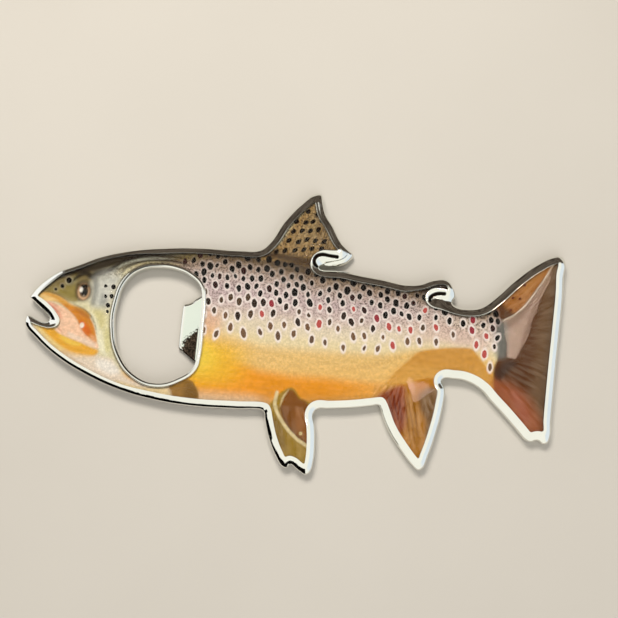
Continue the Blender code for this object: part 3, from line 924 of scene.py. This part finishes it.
def paint_head(art, x):
    art.lay("d9cfae", soft(x, -40, -45))
    # Olive and brown on top with dark curved streaks, running back over the opening.
    crown = ((-68.5, 2.6), (-66, 6), (-61, 10), (-52, 15), (-44, 18.5), (-34, 21), (-24, 21),
             (-24.5, 17.2), (-32, 15.4), (-39.3, 14.6), (-43.5, 13.4), (-47, 11.4), (-50.5, 9.6),
             (-54, 7.6), (-56.5, 2.6), (-60, 3.4), (-64.2, 3.8))
    art.fill("7d6c44", 0.8, 1, *crown)
    art.fill("6f7068", 0.9, 0.75, (-54, 10.4), (-49, 12.8), (-44, 15.2), (-36, 17.2), (-30, 17.6),
             (-36, 15.9), (-44, 13.6), (-49, 10.2), (-52, 8.8))
    art.fill("958445", 0.8, 0.85, (-66, 3.9), (-63.2, 5.6), (-59.6, 6.2), (-57.9, 6.2), (-57.2, 3.6),
             (-57, 2.2), (-59.3, 2), (-62, 3.2))
    art.fill("a39a6c", 0.5, 0.6, (-60.2, 8), (-58, 8.8), (-57.8, 7.4), (-59.4, 6.4), (-61, 6.8))
    for width, *knots in (
        (1.9, (-64.6, 6.9), (-59.9, 9.5), (-55.8, 11.1), (-52.2, 12.3), (-48.6, 13.9), (-42.1, 16),
         (-34, 17.2)),
        (1.5, (-59.2, 7), (-57.7, 8.9), (-55.6, 10), (-53.9, 9.2), (-52.5, 10.2), (-50.2, 10.9),
         (-47.5, 12.8)),
        (1.0, (-50.4, 10.7), (-48.4, 12.5), (-46.1, 14), (-42.6, 15.1), (-37, 16), (-30, 16.4)),
        (1.0, (-46.9, 10.4), (-45, 12.6), (-42.2, 14), (-38, 14.9), (-33, 15.2), (-28, 14.2)),
    ):
        art.stroke("15110d", width, 0.4, 0.92, *knots)
    art.stroke("b4b3a2", 0.6, 0.3, 0.8, (-49.6, 10.2), (-47.2, 12.4), (-44.4, 14), (-39.6, 15.3),
               (-33, 15.8))
    art.stroke("cdbf92", 0.6, 0.25, 0.85, (-46, 10.6), (-44, 12.5), (-41, 13.8), (-36, 14.5), (-30.5, 14.3))
    # Silver behind the eye, turning to cream down the gill cover.
    art.fill("cfcdc4", 1.9, 0.95, (-53.6, 7.6), (-52, 9.6), (-49, 10.8), (-46.2, 9.6), (-47.6, 6),
             (-48.4, 2.8), (-50.1, 0.6), (-52.6, 1.2), (-53.4, 4.4))
    art.fill("6f7170", 0.7, 0.65, (-53.6, 8.8), (-52.5, 9), (-52, 5), (-52.6, 1.4), (-53.4, 1.6),
             (-53.3, 5))
    art.fill("8b8d88", 0.6, 0.55, (-50.8, 4.8), (-49.6, 4.4), (-49.2, 1), (-50.4, 0.2), (-51.2, 2))
    art.fill("e4daae", 1.7, 0.95, (-56.9, 1.2), (-54.6, 1.4), (-52.3, 0.6), (-49.9, 0.8), (-48, -0.4),
             (-47.6, -4), (-47.2, -8.5), (-46.2, -12.2), (-48.6, -11), (-50.1, -7.4), (-51.3, -3.8),
             (-53.2, -0.8), (-55.5, 0.6))
    art.fill("f6efd2", 0.7, 0.9, (-53, -0.6), (-51.4, -2), (-50, -4.8), (-48.6, -8.6), (-47.7, -11.4),
             (-49.5, -10), (-50.9, -7), (-52.2, -3.2))
    art.fill("cdbf7e", 0.8, 0.6, (-52.4, 0.4), (-50.2, 0), (-49.2, -3), (-50, -4.4), (-51.2, -2.4))
    art.fill("d6cb8c", 0.6, 0.6, (-48.6, -4), (-47.8, -4.4), (-47, -10), (-47.8, -10.4), (-48.6, -7.4))
    # Golden jaw over a pale throat.
    throat = ((-69, -4), (-66, -6), (-60, -8.6), (-54, -10.4), (-49.2, -11.6), (-46, -12.2),
              (-44.6, -14.2), (-42, -16.4), (-36, -17.8), (-31, -18.2), (-30, -24), (-46, -22), (-58, -16),
              (-67, -9))
    art.fill("e9d6c2", 0.8, 1, *throat)
    art.fill("e8be80", 1.0, 0.9, (-67.5, -4.6), (-62, -6.5), (-56, -9.4), (-51, -10.4), (-51.6, -11.6),
             (-56, -12), (-60, -11.2), (-64, -8.6))
    art.fill("f0d68e", 0.5, 0.8, (-67.4, -4.4), (-65.2, -5.2), (-62, -7.6), (-58.5, -10), (-60, -10.8),
             (-63.6, -8.2), (-66.4, -5.8))
    art.fill("ecab34", 0.5, 0.97, (-66.4, -4), (-62.7, -4.8), (-61, -6.2), (-58.7, -7.3), (-55.5, -8.1),
             (-52.2, -9.4), (-49.9, -10.2), (-50.6, -11.4), (-53, -11.5), (-56.4, -11.1), (-59.6, -9.9),
             (-62.6, -7.9), (-65.2, -5.7))
    art.fill("f6cf58", 0.5, 0.8, (-60.6, -6.9), (-57.5, -8), (-54.4, -8.9), (-56, -9.4), (-59, -8.6))
    art.stroke("caa06c", 0.35, 0.2, 0.7, (-66.4, -6.4), (-62, -9.5), (-57.4, -12.3), (-52.2, -14.6))
    art.fill("ecd09a", 0.7, 0.85, (-44.5, -17.6), (-38, -18.6), (-31, -18.4), (-30, -21.4), (-36, -21.4),
             (-41, -19.6))
    art.stroke("c6975a", 0.35, 0.2, 0.6, (-42.5, -18.4), (-37, -19.9), (-32, -20.4))
    art.stroke("cdb49a", 0.4, 0.3, 0.6, (-51, -11.9), (-48, -13.4), (-44.4, -15.4))
    art.fill("f5eee6", 0.9, 0.8, (-50, -12.4), (-46.6, -12.6), (-43.8, -15.2), (-46, -16), (-50, -14))


def paint_mouth(art):
    # Amber upper lip, pink mouth, and the orange bone at its corner.
    art.fill("dba04a", 0.4, 1, (-67.4, 2.8), (-66, 3.9), (-63.3, 3.7), (-61, 2.9), (-58.7, 1.5),
             (-57.1, 1), (-54.6, 0.2), (-53, -1.4), (-56.4, -1.6), (-58.6, -0.2), (-61.5, 1.4),
             (-64.2, 1.9), (-66.2, 1.5))
    art.fill("f3cc86", 0.4, 0.9, (-67.6, 2.8), (-66, 3.4), (-63.4, 2.7), (-62, 2), (-64.2, 1.8),
             (-66.4, 1.6))
    art.stroke("6e4f22", 0.45, 0.2, 0.7, (-66.4, 4.3), (-64, 4.2), (-61.6, 3.4), (-59.6, 2.4))
    pink = ((-67, 1.6), (-64.1, 1.7), (-61.3, 0.8), (-59.1, -0.3), (-57.1, -1.9), (-55.8, -3.7),
            (-54.4, -5.4), (-52.5, -7.1), (-50.6, -7.9), (-50, -9.6), (-52.7, -9), (-55.5, -8.1),
            (-58.7, -7.1), (-60.6, -6.5), (-61.8, -5.5), (-60.9, -4.4), (-61, -3.1), (-63, -1.4),
            (-65.4, 0.3))
    art.fill("f7caaa", 0.3, 1, *pink)
    art.fill("e7a088", 0.5, 0.8, (-66.6, 1.3), (-63.8, 1.2), (-61.4, -0.6), (-60.4, -2.6), (-62.6, -1.2),
             (-65, 0.5))
    art.fill("f6dcc6", 0.5, 0.8, (-58.4, -6), (-55, -7), (-51.6, -8.2), (-50.6, -9.2), (-54, -8.4),
             (-58, -7))
    art.stroke("c96a58", 0.35, 0.18, 0.8, (-65, 1.3), (-62.9, 0.1), (-60.9, -1.8))
    art.stroke("cf7a68", 0.3, 0.18, 0.6, (-64, 1.5), (-61.9, 0.5), (-60, -1))
    art.stroke("b9604c", 0.4, 0.2, 0.7, (-61.3, -4.9), (-60.6, -5.6), (-59.9, -6.2))
    bone = ((-61, 1.4), (-58.7, 0.9), (-56.8, 0.4), (-54.7, -0.5), (-53.1, -1.9), (-51.8, -3.9),
            (-51, -6.4), (-50.7, -7.9), (-52.5, -7.1), (-54.2, -5.9), (-55.4, -4.2), (-56.8, -2.2),
            (-58.6, -0.5))
    art.fill("d6862e", 0.35, 1, *bone)
    art.fill("d86418", 0.6, 0.9, (-55.6, -2.6), (-53.6, -3.6), (-52.4, -5.6), (-53.2, -6.4), (-54.4, -5.4),
             (-55.6, -3.9))
    art.fill("a3622a", 0.5, 0.6, (-57.6, 0.6), (-54.9, -0.2), (-53, -1.8), (-54, -1.8), (-56.4, -0.6))
    art.fill("f0b283", 0.4, 0.7, (-52.4, -6.2), (-51.2, -6.6), (-50.7, -8), (-52.2, -7.2))
    art.stroke("5a4320", 0.45, 0.22, 0.75, (-58.2, 1.6), (-55, 0.3), (-53, -1.2), (-51.6, -3.4),
               (-50.8, -6))
    art.spot("fdf3e8", -55.0, -3.9, 1.1, 1.4, 0.2)
    art.spot("e8c4a4", -55.0, -3.7, 0.5, 0.6, 0.2, 0.6)


def paint_eye(art):
    x, y = -55.7, 5.0
    art.spot("2c2015", x, y + 0.2, 4.5, 5.6, 0.5, 0.7)
    art.spot("8a6a4c", x, y, 3.6, 4.7, 0.25)
    art.spot("d3ab84", x, y - 0.1, 2.9, 3.9, 0.2)
    art.spot("4d3626", x + 0.1, y + 0.1, 2.3, 3.1, 0.2)
    art.spot("0a0807", x + 0.3, y - 0.2, 1.6, 2.2, 0.15)
    art.spot("0a0807", x + 0.1, y + 1.5, 2.2, 1.0, 0.2)
    art.spot("f6f2ea", x - 0.65, y + 0.45, 0.9, 1.3, 0.15)
    art.spot("b9a48e", x + 0.2, y - 1.1, 0.7, 0.4, 0.15, 0.7)


def scattered(random):
    """Places of the trunk's spots: at random, but never closer than the local spacing."""
    x, y = random.uniform(-31, 53.4, 30000), random.uniform(-7, 20, 30000)
    low = height_at(SPOTTED_DOWN_TO, x)
    height = (y - low) / (height_at(BACK_LINE, x) - low)
    kept = np.full((1, 2), 99.0)
    for k in np.nonzero((height > 0) & (height < 0.96))[0]:
        dx, dy = ((kept - (x[k], y[k])) * (1.0, 0.85)).T
        if np.hypot(dx, dy).min() > 3.3 - 3.0 * height[k] + 1.35 * height[k] ** 2:
            kept = np.vstack([kept, (x[k], y[k])])
            yield x[k], y[k], height[k]


def all_spots():
    """Every spot: its place, half width, height over width, turn, colour and strength of its halo."""
    random = np.random.default_rng(7)
    for x, y, height in scattered(random):
        kind, tone = random.random(2)
        if 0.06 < height < 0.5 + 0.2 * soft(x, 0, 30) and kind < 0.10 + 0.36 * soft(x, 0, 34):
            color = "ab4945" if tone < 0.6 else "8a2e38"
        elif height > 0.5:
            color = "120e0c" if tone < 0.85 else "2c1614"
        elif height > 0.25:
            color = "2c1f18" if tone < 0.6 else "4c3a2c"
        else:
            color = "6b4f3a" if tone < 0.6 else "5e4738"
        size = (0.48 + 0.2 * height) * random.normal(1, 0.12)
        halo = 0.92 * soft(height, 1.0, 0.4) * soft(x, -29, -23)
        yield x, y, size, 1.95 - 0.8 * height, random.normal(0.12, 0.2), color, halo
    for x, y, size in ((-50.1, 7.0, 0.42), (-48.0, 6.9, 0.6), (-49.8, 4.3, 0.4), (-48.2, 4.4, 0.55),
                       (-48.9, 2.0, 0.55), (-48.8, 0.3, 0.4), (-61.4, 6.0, 0.5), (-59.9, 7.7, 0.7),
                       (-63.0, 5.0, 0.35)):
        yield x, y, size, 1.15, 0.4, "14100d", 0.1
    for x, y in ((57.3, 15.3), (56.6, 13.1), (58.4, 13.0), (56.2, 9.8), (59.5, 16.8)):
        yield x, y, 0.42, 0.8, 0.4, "5a2a18", 0.0
    for row in range(6):
        for k in range(6):
            x = -6.2 + 2.3 * k + 0.75 * row + random.normal(0, 0.15)
            y = 20.4 + 2.6 * row + 0.3 * k + random.normal(0, 0.2)
            left = np.interp(y, (20, 29, 36), (-7.8, -3.0, 2.6))
            right = np.interp(y, (20, 24, 31, 36), (5.2, 7.2, 5.4, 3.9))
            if left + 0.9 < x < right - 0.3 and y < 34:
                yield x, y, 0.56, 1.4, -0.75, "17100b", 0.0


def spots(points):
    """Signed distance to the nearest spot, its colour, and how strong its pale halo is."""
    best = np.full(len(points), 9.0)
    color = np.zeros((len(points), 3))
    halo = np.zeros(len(points))
    for x, y, radius, tall, turn, tone, pale in all_spots():
        near = np.nonzero((np.abs(points - (x, y)) < 3.0).all(axis=1))[0]
        dx, dy = (points[near] - (x, y)).T
        c, s = math.cos(turn), math.sin(turn)
        away = np.hypot(dx * c + dy * s, (dy * c - dx * s) / tall) - radius
        closer = away < best[near]
        best[near[closer]] = away[closer]
        color[near[closer]] = linear(tone)
        halo[near[closer]] = pale
    return best, color, halo


def grain(points):
    """Coordinates across and along the picture's fine streaks, and how strong they are."""
    x, y = points.T
    across, along = y * 1.1, x * 0.16
    strength = np.full(len(points), 0.07)
    # Each fin: the point its rays run from, its box, its share of streaks and their number.
    fins = (
        ((2.0, 8.0), (-12, 14, 19.5, 40), 0.3, 22),
        ((31.0, -4.0), (22, 43, -40, -12.5), 0.35, 15),
        ((-2.0, -10.0), (-7, 10, -40, -20), 0.25, 16),
        ((42.0, 1.0), (54.5, 72, -28, 28), 0.2, 26),
    )
    for (cx, cy), (x0, x1, y0, y1), share, number in fins:
        there = (x > x0) & (x < x1) & (y > y0) & (y < y1)
        across = np.where(there, np.arctan2(y - cy, x - cx) * number, across)
        along = np.where(there, np.hypot(x - cx, y - cy) * 0.2, along)
        strength = np.where(there, share, strength)
    return np.column_stack([across, along, np.zeros(len(x))]), strength


def mark(obj, name, kind, values):
    """Gives the object's points an attribute."""
    field = {"FLOAT": "value", "FLOAT_VECTOR": "vector", "FLOAT_COLOR": "color"}[kind]
    data = obj.data.attributes.new(name, kind, "POINT").data
    data.foreach_set(field, values.astype(np.float32).ravel())


def paint_groove_shade(obj, node):
    """Marks painted shade on the casting: in the grooves, and in a dark line round the left side of the
    opening. Its material darkens them.
    """
    points = corners_of(obj)
    opening = smoothed(plane_loops(node, BACK_Z)[1])
    away = distance(points[:, :2], opening) - RING_SHADE_LINE
    # Painted shade: a dark line on the ring round the left side of the opening.
    ring = soft(np.abs(away), 0.22, 0.06) * soft(points[:, 0], -33, -40) * ~inside(points[:, :2], opening)
    share = np.maximum(groove_share(points[:, :2]), ring) * (points[:, 2] > FLOOR_Z)
    mark(obj, "painted_shade", "FLOAT", share)


def decorate(obj, node):
    """Puts the picture on the film as attributes."""
    points = corners_of(obj)[:, :2]
    x, y = points.T
    paint, level = paint_picture(points, *(smoothed(loop) for loop in plane_loops(node, FLOOR_Z)))
    away, spot_color, halo = spots(points)
    lines, strength = grain(points)
    on_trunk = soft(level, 0.4, 0.85) * soft(x, -43, -38) * soft(x, 56, 50)
    on_head = (1 - soft(x, -44, -41)) * soft(y, 7, 11) * 0.7
    mark(obj, "paint", "FLOAT_COLOR", np.column_stack([paint, np.ones(len(x))]))
    mark(obj, "spot_color", "FLOAT_COLOR", np.column_stack([spot_color, np.ones(len(x))]))
    mark(obj, "spot", "FLOAT", away)
    mark(obj, "halo", "FLOAT", halo)
    mark(obj, "streak", "FLOAT", strength)
    mark(obj, "speckle", "FLOAT", np.maximum(on_trunk, on_head))
    mark(obj, "grain", "FLOAT_VECTOR", lines)


# ---------------------------------------------------------------- studio


def area_light(name, place, width, height, power, color):
    """A soft light over the object, kept out of reflections."""
    data = bpy.data.lights.new(name, "AREA")
    data.shape = "RECTANGLE"
    data.size, data.size_y = width * MM, height * MM
    data.energy = power
    data.color = color
    obj = add_object(name, data)
    obj.location = Vector(place) * MM
    obj.rotation_euler = (-Vector(place)).to_track_quat("-Z", "Y").to_euler()
    obj.visible_glossy = False


def panel(name, corners, material):
    """One flat face that isn't part of the object."""
    mesh = bpy.data.meshes.new(name)
    face = tuple(range(len(corners)))
    mesh.from_pydata([tuple(v * MM for v in corner) for corner in corners], [], [face])
    mesh.materials.append(material)
    obj = add_object(name, mesh)
    obj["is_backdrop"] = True
    return obj


def card(name, corners, color, strength):
    """A flat glowing card that only shiny surfaces see."""
    m = Nodes(name)
    glow = m.surface(m.add("ShaderNodeEmission", {"Color": color, "Strength": strength}))
    obj = panel(name, corners, glow)
    obj.visible_camera = False
    obj.visible_diffuse = False
    obj.visible_shadow = False


def upright(places, top):
    """Corners of an upright card over a line of two places on the floor."""
    (ax, ay), (bx, by) = places
    return (ax, ay, 1), (bx, by, 1), (bx, by, top), (ax, ay, top)


def mirrored(seen, surface, lean=0.0):
    """Corners of a high level card that a mirror shows to the camera at the places seen.

    The mirror is level, or rises by lean for each millimetre towards +X.
    """
    corners = []
    normal = Vector((-lean, 0, 1)).normalized()
    for x, y in seen:
        place = Vector((x, y, surface))
        ray = place - Vector(CAMERA_PLACE)
        ray = ray - 2 * ray.dot(normal) * normal
        corners.append(tuple(place + ray * ((CARD_Z - surface) / ray.z)))
    return corners


def sky(w):
    """What shiny surfaces see: bright overhead, in front and at both ends, and dark behind."""
    direction = w.add("ShaderNodeTexCoord").outputs["Generated"]
    x, y, _ = w.add("ShaderNodeSeparateXYZ", {0: direction}).outputs
    behind = w.ramp(y, 0.24, 0.34)
    right = w.times(w.ramp(x, 0.3, 0.4), w.ramp(y, 0.35, 0.5, 1.0, 0.0))
    left = w.times(w.ramp(x, -0.46, -0.34, 1.0, 0.0), w.ramp(y, 0.15, 0.4, 1.0, 0.0))
    dark = w.math("SUBTRACT", behind, w.math("MAXIMUM", right, left), clamp=True)
    bright = w.mix(w.ramp(x, 0.5, 0.9), "fbfaf0", "e3edf6")
    shade = w.mix(w.ramp(w.noise(direction, 14, 3), 0.4, 0.6), "3d352d", "665c52")
    return w.mix(dark, bright, shade)


def studio():
    """The light, the cards for reflections, the floor and the camera."""
    scene = bpy.context.scene
    scene.view_settings.view_transform = "Standard"
    world = bpy.data.worlds.new("studio")
    scene.world = world
    world.use_nodes = True
    w = Nodes("studio", world.node_tree)
    glossy = w.add("ShaderNodeLightPath").outputs["Is Glossy Ray"]
    color = w.mix(glossy, "f4f1ea", sky(w))
    strength = w.plus(SOFT_STRENGTH, w.times(glossy, SHINY_STRENGTH - SOFT_STRENGTH))
    background = w.add("ShaderNodeBackground", {"Color": color, "Strength": strength})
    w.add("ShaderNodeOutputWorld", {"Surface": background})

    area_light("key", (-90, 260, 420), 220, 160, 2.15, (1.0, 0.97, 0.92))
    area_light("fill", (120, -300, 380), 420, 420, 0.85, (0.95, 0.97, 1.0))
    card("snout_card", upright(((-112, -20), (-112, 75)), 90), "ffffff", 1.15)
    card("mouth_flag", upright(((-95, -45), (-95, -3)), 30), "060504", 1.0)
    card("belly_flag", [(x, -45, z) for x, z in FLAG_OUTLINE], "060504", 1.0)
    card("lip_card", mirrored(LIP_SEEN, LIP_Z, LIP_LEAN), "eef6ea", 1.1)
    card("tail_card", mirrored(TAIL_SEEN, RESIN_CROWN_Z), "ffe2cb", 23)
    card("fin_card", mirrored(FIN_SEEN, RESIN_CROWN_Z), "f6e4e6", 17)

    corners = [(x * FLOOR_REACH, y * FLOOR_REACH, 0) for x, y in ((-1, -1), (1, -1), (1, 1), (-1, 1))]
    floor = panel("floor", corners, pale_floor())
    floor.location.z = -FLOOR_DROP * MM

    camera = bpy.data.cameras.new("camera")
    camera.angle = math.radians(CAMERA_ANGLE)
    camera.clip_start = 0.01
    obj = add_object("camera", camera)
    obj.location = Vector(CAMERA_PLACE) * MM
    obj.rotation_mode = "QUATERNION"
    obj.rotation_quaternion = (Vector(CAMERA_AIM) - Vector(CAMERA_PLACE)).to_track_quat("-Z", "Y")
    scene.camera = obj


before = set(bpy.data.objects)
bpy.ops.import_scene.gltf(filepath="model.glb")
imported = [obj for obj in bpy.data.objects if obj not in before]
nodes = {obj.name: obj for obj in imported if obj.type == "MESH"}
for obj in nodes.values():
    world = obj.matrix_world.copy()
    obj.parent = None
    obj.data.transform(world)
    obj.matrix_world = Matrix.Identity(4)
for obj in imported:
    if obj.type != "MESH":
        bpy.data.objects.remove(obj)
cad_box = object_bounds()

pieces = (
    (casting(nodes["cast_body"]), "cast_body", "chrome_plate", chrome),
    (film(nodes["cast_body"]), "artwork_film", "printed_film", printed_film),
    (resin(nodes["cast_body"]), "resin_dome", "clear_resin", clear_resin),
)
for piece, node, slot, surface in pieces:
    piece.data.materials.append(surface())
    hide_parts(node)
    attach(piece, "root")
paint_groove_shade(pieces[0][0], nodes["cast_body"])
decorate(pieces[1][0], nodes["cast_body"])
studio()

boxes = {"cad": cad_box, "visual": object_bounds()}
{name: [list(corner) for corner in box] for name, box in boxes.items()}
